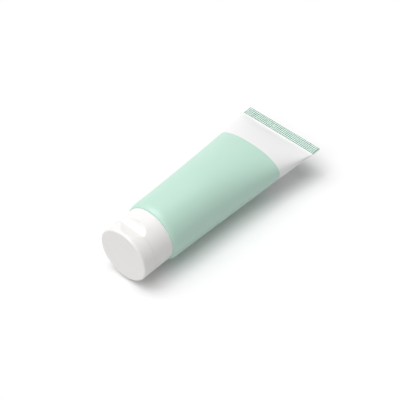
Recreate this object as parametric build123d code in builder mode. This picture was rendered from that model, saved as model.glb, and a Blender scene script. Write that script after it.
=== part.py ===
"""A toothpaste tube of 35 mm diameter with a flip-top cap, lying on its underside.

The tube's axis is level and runs along X. The cap's end faces -X and the crimped tail faces +X.
The origin is on the resting plane, under the middle of the overall length. Sizes are in mm.
Distances along the tube are measured from the shoulder, where the sleeve meets the cap.
"""

from build123d import *
from math import pi, radians, sin, sqrt, tan
import os

# Sleeve: an extruded plastic tube, round at the shoulder and welded flat at the tail.
sleeve_radius = 17.5
sleeve_length = 102.5
sleeve_wall = 0.5
crimp_width = 50.5
crimp_length = 6.6
crimp_thickness = 1.0
closing_power = 3.3  # how late the round section closes towards the tail
spreading_power = 2.0  # how late the section widens towards the tail
slump = 1.9  # how far the paste's weight presses the underside down at mid length
shoulder_round = 1.5
front_lip = 0.9  # the sleeve's front edge, turned in over the head
head_opening = 14.5  # radius of the hole inside the turned-in edge
seal_margin = 1.5  # solid length in front of the crimp, where the walls already touch
section_count = 10
section_spacing = 1.5  # above 1 the sections crowd towards the tail

# Head: the moulded shoulder plate with the neck that the paste leaves by.
plate_thickness = 1.5
neck_radius = 6.5
neck_length = 11.0
neck_bore = 4.0
snap_bead = 0.5  # how far the neck's ring stands proud
snap_bead_place = 5.0
fit_gap = 0.1  # between moulded pieces that are pressed or welded together

# Cap: a flip top in two moulded halves, joined by a living hinge.
cap_radius = 16.0
cap_height = 21.1
cap_wall = 1.3
base_height = 13.1
seam_gap = 0.3
parting_gap = 0.1
end_round = 1.0
deck_recess = 0.6
deck_thickness = 1.2
collar_wall = 1.2
collar_gap = 0.15
collar_foot = 1.5  # distance left between the collar and the shoulder
snap_gap = 0.2  # between the neck's ring and the collar's, which catches behind it
spout_radius = 3.6
spout_height = 2.0
orifice_radius = 2.2
end_thickness = 1.2
plug_gap = 0.15
plug_reach = 2.0  # how deep the lid's plug goes into the spout
plug_chamfer = 0.3

# Thumb notch: a scoop in the base under a straight lip on the lid.
lip_depth = 2.2  # the lip's level, below the cap's top
lip_slope = 19.0  # degrees
finger_gap = 1.5
scoop_reach = 5.2
notch_wall = 1.2

# Living hinge: a film across the parting line, opposite the thumb notch.
hinge_depth = 0.8  # the film's level, above the cap's underside
hinge_reach = 1.6
hinge_width = 9.0
hinge_end_gap = 0.1
film_thickness = 0.45
film_web = 0.2

# Content: the paste fills the sleeve and the neck.
paste_gap = 0.1

overall_length = cap_height + sleeve_length + crimp_length
shoulder_x = cap_height - overall_length / 2
axis_z = sleeve_radius
tube_axis = Axis((shoulder_x, 0, axis_z), (1, 0, 0))
lengthwise = Plane(origin=(shoulder_x, 0, axis_z), x_dir=(1, 0, 0), z_dir=(0, -1, 0))
parting_x = shoulder_x - base_height
deck_face = base_height - deck_recess
deck_back = deck_face - deck_thickness
cap_bore = cap_radius - cap_wall
collar_bore = neck_radius + snap_bead + collar_gap
collar_radius = collar_bore + collar_wall
catch_front = snap_bead_place - snap_bead - snap_gap
catch_radius = neck_radius + fit_gap


def crosswise(distance):
    """The plane across the tube at a distance from the shoulder, with Y to its right and Z up."""
    return Plane(origin=(shoulder_x + distance, 0, axis_z), x_dir=(0, 1, 0), z_dir=(1, 0, 0))


def sleeve_section(distance):
    """The sleeve's half width, and how far it reaches above and below the axis."""
    share = distance / sleeve_length
    half_width = sleeve_radius + (crimp_width / 2 - sleeve_radius) * share**spreading_power
    rise = sleeve_radius - (sleeve_radius - crimp_thickness / 2) * share**closing_power
    drop = rise + slump * sin(pi * share)
    return half_width, rise, drop


def sleeve_form(first, last, inset, rim_round=0.0):
    """The sleeve's form between two distances, inset from its outside and flat underneath."""
    with BuildPart() as form:
        for number in range(section_count + 1):
            share = 1 - (1 - number / section_count) ** section_spacing
            distance = first + (last - first) * share
            half_width, rise, drop = sleeve_section(distance)
            with BuildSketch(crosswise(distance)):
                with BuildLine():
                    EllipticalCenterArc((0, 0), half_width - inset, rise - inset, 0, arc_size=180)
                    EllipticalCenterArc((0, 0), half_width - inset, drop - inset, 180, arc_size=180)
                make_face()
        loft()
        if rim_round:
            fillet(form.faces().sort_by(Axis.X)[0].edges(), rim_round)
        split(bisect_by=Plane.XY.offset(inset), keep=Keep.TOP)
    return form.part


sleeve_outside = sleeve_form(0, sleeve_length, 0, shoulder_round)
sleeve_inside = sleeve_form(front_lip, sleeve_length - seal_margin, sleeve_wall)
paste_front = front_lip + plate_thickness + paste_gap
paste_form = sleeve_form(paste_front, sleeve_length - seal_margin - paste_gap, sleeve_wall + paste_gap)

with BuildPart() as tube_sleeve:
    add(sleeve_outside)
    with BuildSketch(crosswise(sleeve_length)):
        Rectangle(crimp_width, crimp_thickness)
    extrude(amount=crimp_length)
    add(sleeve_inside, mode=Mode.SUBTRACT)
    with BuildSketch(crosswise(0)):
        Circle(head_opening)
    extrude(amount=front_lip, mode=Mode.SUBTRACT)

with BuildPart() as tube_head:
    with BuildSketch(lengthwise):
        with BuildLine():
            plate_radius = sleeve_radius - sleeve_wall - fit_gap
            boss_radius = head_opening - fit_gap
            bead_radius = neck_radius + snap_bead
            bead_front = -snap_bead_place - snap_bead
            bead_back = -snap_bead_place + snap_bead
            Polyline(
                (front_lip + plate_thickness, neck_bore),
                (front_lip + plate_thickness, plate_radius),
                (front_lip, plate_radius),
                (front_lip, boss_radius),
                (0, boss_radius),
                (0, neck_radius),
                (bead_back, neck_radius),
                (-snap_bead_place, bead_radius),
                (bead_front, neck_radius),
                (-neck_length, neck_radius),
                (-neck_length, neck_bore),
                close=True,
            )
        make_face()
    revolve(axis=tube_axis)

lip_height = cap_radius - lip_depth
half_chord = sqrt(cap_radius**2 - lip_height**2)
scoop_radius = (half_chord**2 + finger_gap**2) / (2 * finger_gap)
scoop_centre = lip_height - finger_gap + scoop_radius
scoop_squash = scoop_reach / sqrt(scoop_radius**2 - (scoop_centre - cap_radius) ** 2)

with BuildPart() as thumb_scoop:
    Sphere(scoop_radius)
    scale(by=(scoop_squash, 1, 1))

hinge_flat = cap_radius - hinge_depth
with BuildPart() as hinge_notch:
    with BuildSketch(Plane((parting_x, 0, axis_z - hinge_flat))):
        Rectangle(2 * hinge_reach, 2 * sqrt(cap_radius**2 - hinge_flat**2) + cap_wall)
    extrude(amount=-cap_radius)

with BuildPart() as cap_base:
    with BuildSketch(lengthwise):
        with BuildLine():
            Polyline(
                (-seam_gap, cap_radius),
                (-base_height, cap_radius),
                (-base_height, cap_bore),
                (-deck_face, cap_bore),
                (-deck_face, spout_radius),
                (-deck_face - spout_height, spout_radius),
                (-deck_face - spout_height, orifice_radius),
                (-deck_back, orifice_radius),
                (-deck_back, collar_bore),
                (-catch_front, collar_bore),
                (-catch_front + collar_bore - catch_radius, catch_radius),
                (-collar_foot, catch_radius),
                (-collar_foot, collar_radius),
                (-deck_back, collar_radius),
                (-deck_back, cap_bore),
                (-seam_gap, cap_bore),
                close=True,
            )
        make_face()
    revolve(axis=tube_axis)
    with BuildSketch(crosswise(-base_height)):
        Circle(cap_radius)
        with Locations((0, lip_height - finger_gap - notch_wall)):
            Rectangle(2 * cap_radius, cap_radius, align=(Align.CENTER, Align.MIN), mode=Mode.INTERSECT)
    extrude(amount=scoop_reach + notch_wall)
    add(thumb_scoop.part.moved(Location((parting_x, 0, axis_z + scoop_centre))), mode=Mode.SUBTRACT)
    add(hinge_notch.part, mode=Mode.SUBTRACT)

with BuildPart() as flip_lid:
    lid_front = base_height + parting_gap
    end_inside = cap_height - end_thickness
    plug_radius = orifice_radius - plug_gap
    plug_tip = deck_face + spout_height - plug_reach
    with BuildSketch(lengthwise):
        with BuildLine():
            Polyline(
                (-cap_height, 0),
                (-cap_height, cap_radius),
                (-lid_front, cap_radius),
                (-lid_front, cap_bore),
                (-end_inside, cap_bore),
                (-end_inside, plug_radius),
                (-plug_tip, plug_radius),
                (-plug_tip, 0),
                close=True,
            )
        make_face()
    revolve(axis=tube_axis)
    with BuildSketch(crosswise(-cap_height)):
        Circle(cap_radius)
        with Locations((0, lip_height - notch_wall)):
            Rectangle(2 * cap_radius, cap_radius, align=(Align.CENTER, Align.MIN), mode=Mode.INTERSECT)
    extrude(amount=cap_height - lid_front)
    fillet(flip_lid.faces().sort_by(Axis.X)[0].edges(), end_round)
    chamfer(flip_lid.faces().sort_by(Axis.X)[-1].edges(), plug_chamfer)
    lip_tilt = tan(radians(lip_slope))
    lip_plane = Plane(
        origin=(shoulder_x - lid_front, 0, axis_z + lip_height),
        x_dir=(0, 1, 0),
        z_dir=(lip_tilt, 0, 1),
    )
    split(bisect_by=lip_plane, keep=Keep.BOTTOM)
    add(hinge_notch.part, mode=Mode.SUBTRACT)

with BuildPart() as living_hinge:
    with BuildSketch(Plane((parting_x, 0, axis_z - hinge_flat))):
        Rectangle(2 * (hinge_reach - hinge_end_gap), hinge_width)
    extrude(amount=-film_thickness)
    groove = film_thickness - film_web
    with Locations(Plane((parting_x, 0, axis_z - hinge_flat - film_thickness))):
        Cylinder(groove, hinge_width, rotation=(90, 0, 0), mode=Mode.SUBTRACT)

with BuildPart() as toothpaste:
    add(paste_form)
    with BuildSketch(crosswise(-neck_length)):
        Circle(neck_bore - paste_gap)
    extrude(amount=neck_length + paste_front)

tube_sleeve.part.label = "tube_sleeve"
tube_head.part.label = "tube_head"
cap_base.part.label = "cap_base"
flip_lid.part.label = "flip_lid"
living_hinge.part.label = "living_hinge"
toothpaste.part.label = "toothpaste"

os.makedirs("parts", exist_ok=True)
export_step(tube_sleeve.part, "parts/tube_sleeve.step")
export_step(tube_head.part, "parts/tube_head.step")
export_step(cap_base.part, "parts/cap_base.step")
export_step(flip_lid.part, "parts/flip_lid.step")
export_step(living_hinge.part, "parts/living_hinge.step")
export_step(toothpaste.part, "parts/toothpaste.step")
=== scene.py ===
"""The looks of a toothpaste tube with a flip-top cap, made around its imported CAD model.

Sizes are in metres, in the CAD's own frame: the tube's axis is level along X, the cap's end faces
-X, the thumb notch is on top, and the tube rests on the floor at Z = 0. Distances along the tube
are measured from the shoulder, where the sleeve meets the cap.
"""

from math import cos, pi, radians, sin, sqrt

import bmesh
import bpy
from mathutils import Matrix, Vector


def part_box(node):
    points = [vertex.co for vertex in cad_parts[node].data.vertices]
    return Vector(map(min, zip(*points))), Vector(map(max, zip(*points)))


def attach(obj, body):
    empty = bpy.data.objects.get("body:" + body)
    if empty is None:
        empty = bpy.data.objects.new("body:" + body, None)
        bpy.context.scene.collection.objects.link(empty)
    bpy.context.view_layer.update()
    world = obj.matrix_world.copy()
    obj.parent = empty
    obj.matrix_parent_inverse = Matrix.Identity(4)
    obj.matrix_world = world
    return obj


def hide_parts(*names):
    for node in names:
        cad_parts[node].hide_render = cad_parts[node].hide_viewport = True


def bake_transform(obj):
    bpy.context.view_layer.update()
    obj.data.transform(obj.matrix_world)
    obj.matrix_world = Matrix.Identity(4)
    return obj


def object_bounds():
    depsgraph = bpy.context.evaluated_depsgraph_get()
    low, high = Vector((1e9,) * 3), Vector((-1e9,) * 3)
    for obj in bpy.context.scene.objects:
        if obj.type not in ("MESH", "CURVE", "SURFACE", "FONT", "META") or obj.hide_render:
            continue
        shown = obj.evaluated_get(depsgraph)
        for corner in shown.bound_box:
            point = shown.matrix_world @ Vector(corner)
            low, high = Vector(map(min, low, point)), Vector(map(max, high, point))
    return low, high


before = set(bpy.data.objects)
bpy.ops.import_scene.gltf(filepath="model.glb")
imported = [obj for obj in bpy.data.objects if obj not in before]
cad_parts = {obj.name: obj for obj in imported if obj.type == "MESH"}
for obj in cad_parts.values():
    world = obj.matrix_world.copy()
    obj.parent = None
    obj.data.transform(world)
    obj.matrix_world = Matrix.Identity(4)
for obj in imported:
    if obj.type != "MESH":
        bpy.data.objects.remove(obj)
cad_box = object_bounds()

# Places that the CAD model gives.
sleeve_low, sleeve_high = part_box("tube_sleeve")
cap_low, cap_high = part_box("cap_base")
film_low, film_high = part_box("living_hinge")
axis_z = (cap_low.z + cap_high.z) / 2
shoulder_x = sleeve_low.x
tail_x = sleeve_high.x

# Sleeve: round at the shoulder and welded flat at the tail.
SLEEVE_RADIUS = axis_z
CRIMP_WIDTH = sleeve_high.y - sleeve_low.y
CRIMP_LENGTH = 0.0066
CRIMP_THICKNESS = 0.001
SLEEVE_LENGTH = tail_x - shoulder_x - CRIMP_LENGTH
SLEEVE_WALL = 0.00042
CLOSING_POWER = 3.3  # how late the round section closes towards the tail
SPREADING_POWER = 2.0  # how late the section widens towards the tail
SLUMP = 0.0019  # how far the paste's weight presses the underside down
SHOULDER_RISE = 0.0015  # height of the rounded shoulder over its front edge
SHOULDER_REACH = 0.0040  # and its length along the tube
SEAM_TUCK = 0.00018  # how far its thin front edge reaches into the seam before the cap
HEAD_OPENING = 0.0145  # radius of the hole inside the turned-in edge
BODY_SQUARENESS = 0.5  # what the section's power gains towards the tail, over an ellipse's 2
BODY_SQUARING = 3.0  # how late it gains that
CRIMP_SQUARENESS = 6.5  # what it gains on top of that right at the crimp
CRIMP_SQUARING = 40.0  # how late it gains that
CRIMP_EASE = 0.0013  # height over which the body runs out into the crimp
ROW_CROWDING = 1.5  # above 1 the rows crowd towards the tail
ROUND_ROWS = 12
BODY_ROWS = 90
CRIMP_ROWS = 6
SIDES = 176
SAME_POINT = 1e-6  # points nearer than this are one

# Print: plain mint with a white panel before the crimp.
PRINT_END = 0.0787  # where the body's mint ends
BAND_START = 0.0007  # white strip between the weld's start and the mint band

# Crimp band: ribs pressed by the welding jaws.
RIB_PITCH = 0.00115
RIB_RADIUS = 0.00034
CROSS_RIB_PITCH = 0.00135
CROSS_RIB_RADIUS = 0.00017
RIB_SINK = 0.6  # how deep a rib's middle lies under the crimp's face, in rib radii
RIB_SIDES = 10
BAND_MARGIN = 0.0002  # bare edge round the ribs

# Edges sharper than these angles, in degrees, stay sharp.
FORM_EDGE = 50
FILM_EDGE = 40

# Living hinge.
FILM_WEB = 0.0002  # thickness left over the groove
FILM_STATIONS = 28

# Finishes. Grain and drift are in features per metre.
PLASTIC_IOR = 1.49
DRIFT_DETAIL = 2.0
GRAIN_DETAIL = 3.0
DRIFT_GLOSS = 0.05  # what the slow drift adds to the roughness
PLASTIC_DRIFT = 70.0
PLASTIC_GRAIN = 900.0
PLASTIC_RELIEF = 0.10
PLASTIC_DEPTH = 0.00004
PLASTIC_GRAIN_GLOSS = 0.03  # what the grain adds to the roughness
PLASTIC_SHEEN = 0.04  # taken off again, so that the mean roughness stays as given
PASTE_GRAIN = 300.0
PASTE_RELIEF = 0.3
FILM_DRIFT = 45.0
FILM_GRAIN = 1400.0
FILM_RELIEF = 0.08
FILM_DEPTH = 0.00003
FILM_GRAIN_GLOSS = 0.04
FILM_ROUGHNESS = 0.40
INK_GLOSS = 0.04  # how much smoother the ink is than the bare film
LACQUER = 0.4
LACQUER_ROUGHNESS = 0.32
CAP_ROUGHNESS = 0.36
HEAD_ROUGHNESS = 0.42
BAND_ROUGHNESS = 0.42
PASTE_ROUGHNESS = 0.30
MIX_COLOURS = (6, 7)  # the mix node's two colour inputs
MIX_RESULT = 2  # and its colour output

# Studio.
FLOOR_SIZE = 4.0
FLOOR_COLOUR = 0.92
FLOOR_BOUNCE = 0.76  # how pale the floor is to the light that it throws back on the tube
FLOOR_LIFT = 0.06  # a faint glow that is only seen, and lights nothing
SKY_LEVEL = 0.20  # the sky's light on the tube, while it looks white
LAMPS = {  # where each lamp shines from, and its share of full light
    "key light": ((-0.25, 0.43, 0.87), 0.36),
    "end light": ((-0.60, 0.0, 0.80), 0.25),
    "top light": ((0.09, 0.10, 1.0), 0.32),
}
LAMP_SOFTNESS = 40  # degrees across
CAMERA_AZIMUTH = 42.2
CAMERA_ELEVATION = 45.8
CAMERA_DISTANCE = 0.8563
CAMERA_LENS = 142.5
CAMERA_SENSOR = 36.0
TARGET_SHIFT = Vector((-0.0041, 0.0013, -0.0060))


def linear(value):
    """The linear value of an everyday colour value between 0 and 1."""
    return value / 12.92 if value <= 0.04045 else ((value + 0.055) / 1.055) ** 2.4


def tint(red, green, blue):
    """A linear colour from everyday 0 to 255 values."""
    return tuple(linear(value / 255) for value in (red, green, blue)) + (1.0,)


MINT = tint(191, 226, 210)
MINT_PALE = tint(195, 230, 215)
MINT_DEEP_INK_AND_SHADE = tint(94, 150, 130)  # deeper mint ink on the band's ground between its ribs, darkened further as painted shade for the grooves
MINT_RIB = tint(232, 246, 239)
MINT_RIB_PALE = tint(238, 248, 243)
PANEL_WHITE = tint(246, 246, 246)
CAP_WHITE = tint(251, 249, 247)
CAP_WHITE_WARM = tint(249, 247, 245)
HEAD_WHITE = tint(238, 240, 238)
PASTE_WHITE = tint(236, 245, 241)


class Term:
    """A value in a node tree, so that a rule can be written as a formula."""

    def __init__(self, tree, socket):
        self.tree = tree
        self.socket = socket

    def math(self, operation, *others):
        node = self.tree.nodes.new("ShaderNodeMath")
        node.operation = operation
        for place, value in enumerate((self, *others)):
            if isinstance(value, Term):
                self.tree.links.new(value.socket, node.inputs[place])
            else:
                node.inputs[place].default_value = value
        return Term(self.tree, node.outputs[0])

    def __add__(self, other):
        return self.math("ADD", other)

    def __sub__(self, other):
        return self.math("SUBTRACT", other)

    def __rsub__(self, other):
        return self.math("MULTIPLY", -1.0).math("ADD", other)

    def __mul__(self, other):
        return self.math("MULTIPLY", other)

    def __truediv__(self, other):
        return self.math("DIVIDE", other)

    def __pow__(self, other):
        return self.math("POWER", other)

    __radd__ = __add__
    __rmul__ = __mul__

    def most(self, other):
        return self.math("MAXIMUM", other)

    def least(self, other):
        return self.math("MINIMUM", other)

    def clamped(self):
        return self.most(0.0).least(1.0)


# Node trees for shapes.


def shape_tree(name, sizes):
    """A geometry tree with named inputs, and the inputs as terms."""
    tree = bpy.data.node_groups.new(name, "GeometryNodeTree")
    tree.interface.new_socket("Shape", in_out="OUTPUT", socket_type="NodeSocketGeometry")
    for label, value in sizes.items():
        kind = "NodeSocketInt" if isinstance(value, int) else "NodeSocketFloat"
        tree.interface.new_socket(label, in_out="INPUT", socket_type=kind)
    given = tree.nodes.new("NodeGroupInput")
    return tree, {label: Term(tree, given.outputs[label]) for label in sizes}


def vector_of(tree, x, y, z):
    """A vector socket from three numbers or terms."""
    node = tree.nodes.new("ShaderNodeCombineXYZ")
    for place, value in enumerate((x, y, z)):
        if isinstance(value, Term):
            tree.links.new(value.socket, node.inputs[place])
        else:
            node.inputs[place].default_value = value
    return node.outputs[0]


def end_tree(tree, shape, material):
    """Ends a geometry tree in plain, painted geometry."""
    real = tree.nodes.new("GeometryNodeRealizeInstances")
    painted = tree.nodes.new("GeometryNodeSetMaterial")
    painted.inputs["Material"].default_value = material
    result = tree.nodes.new("NodeGroupOutput")
    tree.links.new(shape, real.inputs["Geometry"])
    tree.links.new(real.outputs["Geometry"], painted.inputs["Geometry"])
    tree.links.new(painted.outputs["Geometry"], result.inputs["Shape"])


def grown(name, tree, sizes, smooth_angle):
    """A plain mesh object that a geometry tree makes with these sizes."""
    piece = bpy.data.objects.new(name, bpy.data.meshes.new(name))
    bpy.context.scene.collection.objects.link(piece)
    modifier = piece.modifiers.new("shape", "NODES")
    modifier.node_group = tree
    for item in tree.interface.items_tree:
        if item.in_out == "INPUT":
            modifier[item.identifier] = sizes[item.name]
    depsgraph = bpy.context.evaluated_depsgraph_get()
    evaluated = piece.evaluated_get(depsgraph)
    mesh = bpy.data.meshes.new_from_object(evaluated, depsgraph=depsgraph)
    piece.modifiers.remove(modifier)
    piece.data = mesh
    smoothed(mesh, smooth_angle)
    return piece


def smoothed(mesh, angle):
    """Smooth shading that breaks at edges sharper than an angle in degrees."""
    mesh.polygons.foreach_set("use_smooth", [True] * len(mesh.polygons))
    mesh.set_sharp_from_angle(angle=radians(angle))


# Materials.


def new_material(name, roughness):
    """A plastic material, its node tree and its shader."""
    material = bpy.data.materials.new(name)
    material.use_nodes = True
    tree = material.node_tree
    shader = tree.nodes["Principled BSDF"]
    shader.inputs["Roughness"].default_value = roughness
    shader.inputs["IOR"].default_value = PLASTIC_IOR
    return material, tree, shader


def object_place(tree):
    """The object coordinates' vector socket, and its X and Y as terms."""
    place = tree.nodes.new("ShaderNodeTexCoord").outputs["Object"]
    split = tree.nodes.new("ShaderNodeSeparateXYZ")
    tree.links.new(place, split.inputs[0])
    return place, Term(tree, split.outputs["X"]), Term(tree, split.outputs["Y"])


def noise(tree, place, scale, detail=DRIFT_DETAIL):
    """Even noise between 0 and 1, with a scale in features per metre."""
    node = tree.nodes.new("ShaderNodeTexNoise")
    node.inputs["Scale"].default_value = scale
    node.inputs["Detail"].default_value = detail
    tree.links.new(place, node.inputs["Vector"])
    return Term(tree, node.outputs["Fac"])


def mixed(tree, share, first, second):
    """A colour socket between two colours, each a colour or a socket."""
    node = tree.nodes.new("ShaderNodeMix")
    node.data_type = "RGBA"
    tree.links.new(share.socket, node.inputs["Factor"])
    for place, colour in zip(MIX_COLOURS, (first, second)):
        if isinstance(colour, tuple):
            node.inputs[place].default_value = colour
        else:
            tree.links.new(colour, node.inputs[place])
    return node.outputs[MIX_RESULT]


def add_relief(tree, shader, height, strength, depth):
    """A bump on the shader from a height term."""
    bump = tree.nodes.new("ShaderNodeBump")
    bump.inputs["Strength"].default_value = strength
    bump.inputs["Distance"].default_value = depth
    tree.links.new(height.socket, bump.inputs["Height"])
    tree.links.new(bump.outputs["Normal"], shader.inputs["Normal"])


def moulded_plastic(
    name, first, second, roughness, grain=PLASTIC_GRAIN, relief=PLASTIC_RELIEF
):
    """Moulded plastic: a faint drift of colour, uneven gloss and a fine skin."""
    material, tree, shader = new_material(name, roughness)
    place, _, _ = object_place(tree)
    drift = noise(tree, place, PLASTIC_DRIFT)
    skin = noise(tree, place, grain, GRAIN_DETAIL)
    tree.links.new(mixed(tree, drift, first, second), shader.inputs["Base Color"])
    gloss = roughness - PLASTIC_SHEEN + DRIFT_GLOSS * drift + PLASTIC_GRAIN_GLOSS * skin
    tree.links.new(gloss.socket, shader.inputs["Roughness"])
    add_relief(tree, shader, skin, relief, PLASTIC_DEPTH)
    return material


def printed_film(name):
    """The sleeve's satin film: mint ink with an even edge beside bare white, under lacquer; on
    the crimp band, a deep mint between the ribs that is partly ink and partly painted shade.
    """
    material, tree, shader = new_material(name, FILM_ROUGHNESS)
    shader.inputs["Coat Weight"].default_value = LACQUER
    shader.inputs["Coat Roughness"].default_value = LACQUER_ROUGHNESS
    place, x, y = object_place(tree)
    drift = noise(tree, place, FILM_DRIFT)
    skin = noise(tree, place, FILM_GRAIN, GRAIN_DETAIL)
    body_print = x.math("LESS_THAN", shoulder_x + PRINT_END)
    band_print = x.math("GREATER_THAN", tail_x - CRIMP_LENGTH + BAND_START)
    inked = body_print.most(band_print)
    inside_end = x.math("LESS_THAN", tail_x - BAND_MARGIN)
    inside_sides = y.math("ABSOLUTE").math("LESS_THAN", CRIMP_WIDTH / 2 - BAND_MARGIN)
    # The crimp band's ground between the ribs gets a deep mint: partly ink, partly painted shade
    # in the grooves.
    groove_ink_and_shade = band_print * inside_end * inside_sides
    ink = mixed(tree, groove_ink_and_shade, mixed(tree, drift, MINT, MINT_PALE), MINT_DEEP_INK_AND_SHADE)
    tree.links.new(mixed(tree, inked, PANEL_WHITE, ink), shader.inputs["Base Color"])
    unevenness = DRIFT_GLOSS * drift + FILM_GRAIN_GLOSS * skin
    gloss = FILM_ROUGHNESS + unevenness - INK_GLOSS * inked
    tree.links.new(gloss.socket, shader.inputs["Roughness"])
    add_relief(tree, shader, skin, FILM_RELIEF, FILM_DEPTH)
    return material


# Pieces.


def sleeve_tree(material, sizes):
    """The sleeve's rule: half rounds that close and widen towards the tail, flat underneath."""
    tree, size = shape_tree("sleeve rule", sizes)
    rows = size["Round Rows"] + size["Body Rows"] + size["Crimp Rows"] + 2.0
    grid = tree.nodes.new("GeometryNodeMeshGrid")
    tree.links.new(rows.socket, grid.inputs["Size X"])
    grid.inputs["Size Y"].default_value = 1.0
    tree.links.new((rows + 1.0).socket, grid.inputs["Vertices X"])
    tree.links.new((size["Sides"] + 1.0).socket, grid.inputs["Vertices Y"])

    place = tree.nodes.new("ShaderNodeSeparateXYZ")
    position = tree.nodes.new("GeometryNodeInputPosition")
    tree.links.new(position.outputs[0], place.inputs[0])
    row = Term(tree, place.outputs["X"]) + rows / 2.0
    turn = (Term(tree, place.outputs["Y"]) + 0.5) * (-2 * pi)

    after_lip = row.clamped()
    corner = ((row - 1.0) / size["Round Rows"]).clamped() * (pi / 2)
    body_row = row - 1.0 - size["Round Rows"]
    body = (body_row / size["Body Rows"]).clamped()
    crimp = ((body_row - size["Body Rows"]) / size["Crimp Rows"]).clamped()
    closing = (row - rows + 1.0).clamped()

    body_share = 1.0 - (1.0 - body) ** size["Row Crowding"]
    round_part = (1.0 - corner.math("COSINE")) * size["Shoulder Reach"]
    body_part = (size["Length"] - size["Shoulder Reach"]) * body_share
    distance = round_part + body_part + crimp * size["Crimp Length"]
    share = (distance / size["Length"]).least(1.0)

    radius = size["Radius"]
    half_width = radius + (size["Crimp Width"] / 2.0 - radius) * share ** size["Spreading Power"]
    swell = (radius - size["Crimp Thickness"] / 2.0) * (1.0 - share ** size["Closing Power"])
    eased = swell * (1.0 - (swell / size["Crimp Ease"] * -1.0).math("EXPONENT"))
    rise = eased + size["Crimp Thickness"] / 2.0
    drop = rise + size["Slump"] * (share * pi).math("SINE")

    lip_share = size["Head Opening"] / radius
    corner_share = (radius - size["Shoulder Rise"] * (1.0 - corner.math("SINE"))) / radius
    reach = lip_share + after_lip * (corner_share - lip_share)

    across = turn.math("COSINE")
    upright = turn.math("SINE")
    body_gain = size["Body Squareness"] * share ** size["Body Squaring"]
    crimp_gain = size["Crimp Squareness"] * share ** size["Crimp Squaring"]
    power = 2.0 + body_gain + crimp_gain
    bulge = (1.0 - across.math("ABSOLUTE") ** power).most(0.0) ** (power ** -1.0)
    level = upright.math("SIGN") * bulge
    height = (level.most(0.0) * rise + level.least(0.0) * drop) * reach * (1.0 - closing)
    height = height.most(radius * -1.0)

    moved = tree.nodes.new("GeometryNodeSetPosition")
    tree.links.new(grid.outputs["Mesh"], moved.inputs["Geometry"])
    spot = vector_of(
        tree,
        distance + size["Shoulder X"],
        across * half_width * reach,
        height + radius,
    )
    tree.links.new(spot, moved.inputs["Position"])
    closed = tree.nodes.new("GeometryNodeMergeByDistance")
    closed.inputs["Distance"].default_value = SAME_POINT
    tree.links.new(moved.outputs["Geometry"], closed.inputs["Geometry"])
    end_tree(tree, closed.outputs["Geometry"], material)
    return tree


def make_sleeve(material):
    """The sleeve as one thin shell, from its rolled-in front edge to the end of its crimp."""
    sizes = {
        "Shoulder X": shoulder_x - SEAM_TUCK,
        "Radius": SLEEVE_RADIUS,
        "Length": SLEEVE_LENGTH + SEAM_TUCK,
        "Shoulder Rise": SHOULDER_RISE,
        "Shoulder Reach": SHOULDER_REACH,
        "Head Opening": HEAD_OPENING,
        "Crimp Width": CRIMP_WIDTH,
        "Crimp Length": CRIMP_LENGTH,
        "Crimp Thickness": CRIMP_THICKNESS,
        "Closing Power": CLOSING_POWER,
        "Spreading Power": SPREADING_POWER,
        "Slump": SLUMP,
        "Body Squareness": BODY_SQUARENESS,
        "Body Squaring": BODY_SQUARING,
        "Crimp Squareness": CRIMP_SQUARENESS,
        "Crimp Squaring": CRIMP_SQUARING,
        "Crimp Ease": CRIMP_EASE,
        "Row Crowding": ROW_CROWDING,
        "Round Rows": ROUND_ROWS,
        "Body Rows": BODY_ROWS,
        "Crimp Rows": CRIMP_ROWS,
        "Sides": SIDES,
    }
    sleeve = grown("sleeve", sleeve_tree(material, sizes), sizes, FORM_EDGE)
    wall = sleeve.modifiers.new("wall", "SOLIDIFY")
    wall.thickness = SLEEVE_WALL
    wall.offset = -1.0
    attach(sleeve, "tube")
    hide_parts("tube_sleeve")


def rib_tree(name, material, sizes):
    """Two rows of ribs, on the crimp's upper and lower face, stepping across or along it."""
    tree, size = shape_tree(name, sizes)
    bar = tree.nodes.new("GeometryNodeMeshCylinder")
    bar.inputs["Vertices"].default_value = RIB_SIDES
    tree.links.new(size["Rib Radius"].socket, bar.inputs["Radius"])
    tree.links.new(size["Rib Length"].socket, bar.inputs["Depth"])
    laid = tree.nodes.new("GeometryNodeTransform")
    turn = vector_of(tree, size["Turn X"], size["Turn Y"], 0.0)
    tree.links.new(bar.outputs["Mesh"], laid.inputs["Geometry"])
    tree.links.new(turn, laid.inputs["Rotation"])
    both = tree.nodes.new("GeometryNodeJoinGeometry")
    for side in (1.0, -1.0):
        line = tree.nodes.new("GeometryNodeMeshLine")
        tree.links.new(size["Count"].socket, line.inputs["Count"])
        level = size["Axis Z"] + size["Face Height"] * side
        start = vector_of(tree, size["Start X"], size["Start Y"], level)
        step = vector_of(tree, size["Step X"], size["Step Y"], 0.0)
        tree.links.new(start, line.inputs["Start Location"])
        tree.links.new(step, line.inputs["Offset"])
        placed = tree.nodes.new("GeometryNodeInstanceOnPoints")
        tree.links.new(line.outputs["Mesh"], placed.inputs["Points"])
        tree.links.new(laid.outputs["Geometry"], placed.inputs["Instance"])
        tree.links.new(placed.outputs["Instances"], both.inputs["Geometry"])
    end_tree(tree, both.outputs["Geometry"], material)
    return tree


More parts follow.
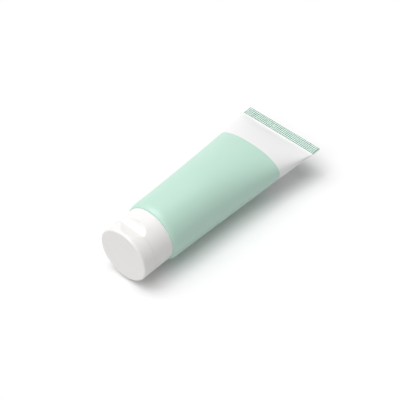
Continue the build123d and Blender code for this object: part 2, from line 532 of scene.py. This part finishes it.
def make_ribs(material):
    """Ribs along the tube, closely spaced across the crimp, and finer ones across them."""
    band_start = tail_x - CRIMP_LENGTH + BAND_START + BAND_MARGIN
    band_end = tail_x - BAND_MARGIN
    band_width = CRIMP_WIDTH - 2 * BAND_MARGIN - 2 * RIB_RADIUS
    count = int(band_width / RIB_PITCH) + 1
    common = {"Axis Z": axis_z, "Turn X": 0.0, "Turn Y": 0.0, "Step X": 0.0, "Step Y": 0.0}
    lengthwise = {
        **common,
        "Count": count,
        "Rib Radius": RIB_RADIUS,
        "Rib Length": band_end - band_start,
        "Face Height": CRIMP_THICKNESS / 2 - RIB_RADIUS * RIB_SINK,
        "Turn Y": pi / 2,
        "Start X": (band_start + band_end) / 2,
        "Start Y": -RIB_PITCH * (count - 1) / 2,
        "Step Y": RIB_PITCH,
    }
    cross_count = int((band_end - band_start) / CROSS_RIB_PITCH)
    crosswise = {
        **common,
        "Count": cross_count,
        "Rib Radius": CROSS_RIB_RADIUS,
        "Rib Length": band_width,
        "Face Height": CRIMP_THICKNESS / 2 - CROSS_RIB_RADIUS * RIB_SINK,
        "Turn X": pi / 2,
        "Start X": (band_start + band_end - CROSS_RIB_PITCH * (cross_count - 1)) / 2,
        "Start Y": 0.0,
        "Step X": CROSS_RIB_PITCH,
    }
    for name, sizes in (("crimp_ribs", lengthwise), ("crimp_cross_ribs", crosswise)):
        ribs = grown(name, rib_tree(name, material, sizes), sizes, FORM_EDGE)
        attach(ribs, "tube")


def make_hinge_film(material):
    """The thin strip between base and lid, with a half-round groove underneath where it bends."""
    middle = (film_low.x + film_high.x) / 2
    groove = film_high.z - film_low.z - FILM_WEB
    form = bmesh.new()
    stations = []
    for number in range(FILM_STATIONS + 1):
        x = film_low.x + (film_high.x - film_low.x) * number / FILM_STATIONS
        lift = sqrt(max(groove**2 - (x - middle) ** 2, 0.0))
        corners = [
            (x, film_low.y, film_low.z + lift),
            (x, film_high.y, film_low.z + lift),
            (x, film_high.y, film_high.z),
            (x, film_low.y, film_high.z),
        ]
        stations.append([form.verts.new(corner) for corner in corners])
    for near, far in zip(stations, stations[1:]):
        for place in range(len(near)):
            following = (place + 1) % len(near)
            form.faces.new((near[place], far[place], far[following], near[following]))
    form.faces.new(stations[0])
    form.faces.new(reversed(stations[-1]))
    bmesh.ops.recalc_face_normals(form, faces=form.faces)
    mesh = bpy.data.meshes.new("hinge_film")
    form.to_mesh(mesh)
    form.free()
    smoothed(mesh, FILM_EDGE)
    mesh.materials.append(material)
    film = bpy.data.objects.new("hinge_film", mesh)
    bpy.context.scene.collection.objects.link(film)
    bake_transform(film)
    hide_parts("living_hinge")


def repaint(node, material):
    """Gives a carried-over CAD node its finish."""
    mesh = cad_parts[node].data
    mesh.materials.clear()
    mesh.materials.append(material)


# Studio.


def seen_ray(tree):
    """1 for rays that show the background: camera, glossy and transmission rays."""
    path = tree.nodes.new("ShaderNodeLightPath")
    camera = Term(tree, path.outputs["Is Camera Ray"])
    glossy = Term(tree, path.outputs["Is Glossy Ray"])
    through = Term(tree, path.outputs["Is Transmission Ray"])
    return camera.most(glossy).most(through)


def make_floor():
    """A matt pale floor, which can be seen through from below."""
    bpy.ops.mesh.primitive_plane_add(size=FLOOR_SIZE)
    floor = bpy.context.object
    floor.name = "floor"
    material = bpy.data.materials.new("pale floor")
    material.use_nodes = True
    tree = material.node_tree
    tree.nodes.clear()
    matt = tree.nodes.new("ShaderNodeBsdfDiffuse")
    paleness = FLOOR_BOUNCE + (FLOOR_COLOUR - FLOOR_BOUNCE) * seen_ray(tree)
    tree.links.new(paleness.socket, matt.inputs["Color"])
    glow = tree.nodes.new("ShaderNodeEmission")
    lift = seen_ray(tree) * FLOOR_LIFT
    tree.links.new(lift.socket, glow.inputs["Strength"])
    both = tree.nodes.new("ShaderNodeAddShader")
    clear = tree.nodes.new("ShaderNodeBsdfTransparent")
    side = tree.nodes.new("ShaderNodeMixShader")
    facing = tree.nodes.new("ShaderNodeNewGeometry")
    result = tree.nodes.new("ShaderNodeOutputMaterial")
    tree.links.new(matt.outputs[0], both.inputs[0])
    tree.links.new(glow.outputs[0], both.inputs[1])
    tree.links.new(facing.outputs["Backfacing"], side.inputs[0])
    tree.links.new(both.outputs[0], side.inputs[1])
    tree.links.new(clear.outputs[0], side.inputs[2])
    tree.links.new(side.outputs[0], result.inputs["Surface"])
    floor.data.materials.append(material)


def make_sky():
    """An even sky that looks white and lights the tube softly."""
    world = bpy.data.worlds.new("studio")
    world.use_nodes = True
    bpy.context.scene.world = world
    tree = world.node_tree
    background = tree.nodes["Background"]
    background.inputs["Color"].default_value = (1.0, 1.0, 1.0, 1.0)
    level = SKY_LEVEL + (1.0 - SKY_LEVEL) * seen_ray(tree)
    tree.links.new(level.socket, background.inputs["Strength"])


def soft_sun(name, source, level):
    """A wide, even lamp that shines from a direction, at a share of full light."""
    lamp = bpy.data.lights.new(name, "SUN")
    lamp.energy = pi * level
    lamp.angle = radians(LAMP_SOFTNESS)
    holder = bpy.data.objects.new(name, lamp)
    holder.rotation_euler = Vector(source).to_track_quat("Z", "Y").to_euler()
    bpy.context.scene.collection.objects.link(holder)


def make_camera():
    """The camera, in front of the cap's end and above it, aimed near the tube's middle."""
    azimuth = radians(CAMERA_AZIMUTH)
    elevation = radians(CAMERA_ELEVATION)
    away = Vector(
        (-cos(elevation) * cos(azimuth), -cos(elevation) * sin(azimuth), sin(elevation))
    )
    target = (Vector(cad_box[0]) + Vector(cad_box[1])) / 2 + TARGET_SHIFT
    lens = bpy.data.cameras.new("camera")
    lens.sensor_width = CAMERA_SENSOR
    lens.lens = CAMERA_LENS
    camera = bpy.data.objects.new("camera", lens)
    camera.location = target + CAMERA_DISTANCE * away
    camera.rotation_euler = away.to_track_quat("Z", "Y").to_euler()
    bpy.context.scene.collection.objects.link(camera)
    bpy.context.scene.camera = camera


bpy.context.scene.view_settings.view_transform = "Standard"
make_camera()
make_floor()
make_sky()
for lamp_name, (lamp_source, lamp_level) in LAMPS.items():
    soft_sun(lamp_name, lamp_source, lamp_level)

sleeve_film = printed_film("printed film")
cap_plastic = moulded_plastic("cap plastic", CAP_WHITE, CAP_WHITE_WARM, CAP_ROUGHNESS)
head_plastic = moulded_plastic("head plastic", HEAD_WHITE, CAP_WHITE, HEAD_ROUGHNESS)
paste = moulded_plastic(
    "paste", PASTE_WHITE, HEAD_WHITE, PASTE_ROUGHNESS, PASTE_GRAIN, PASTE_RELIEF
)
band_ink = moulded_plastic("band ink", MINT_RIB, MINT_RIB_PALE, BAND_ROUGHNESS)

make_sleeve(sleeve_film)
make_ribs(band_ink)
make_hinge_film(cap_plastic)
repaint("cap_base", cap_plastic)
repaint("flip_lid", cap_plastic)
repaint("tube_head", head_plastic)
repaint("toothpaste", paste)
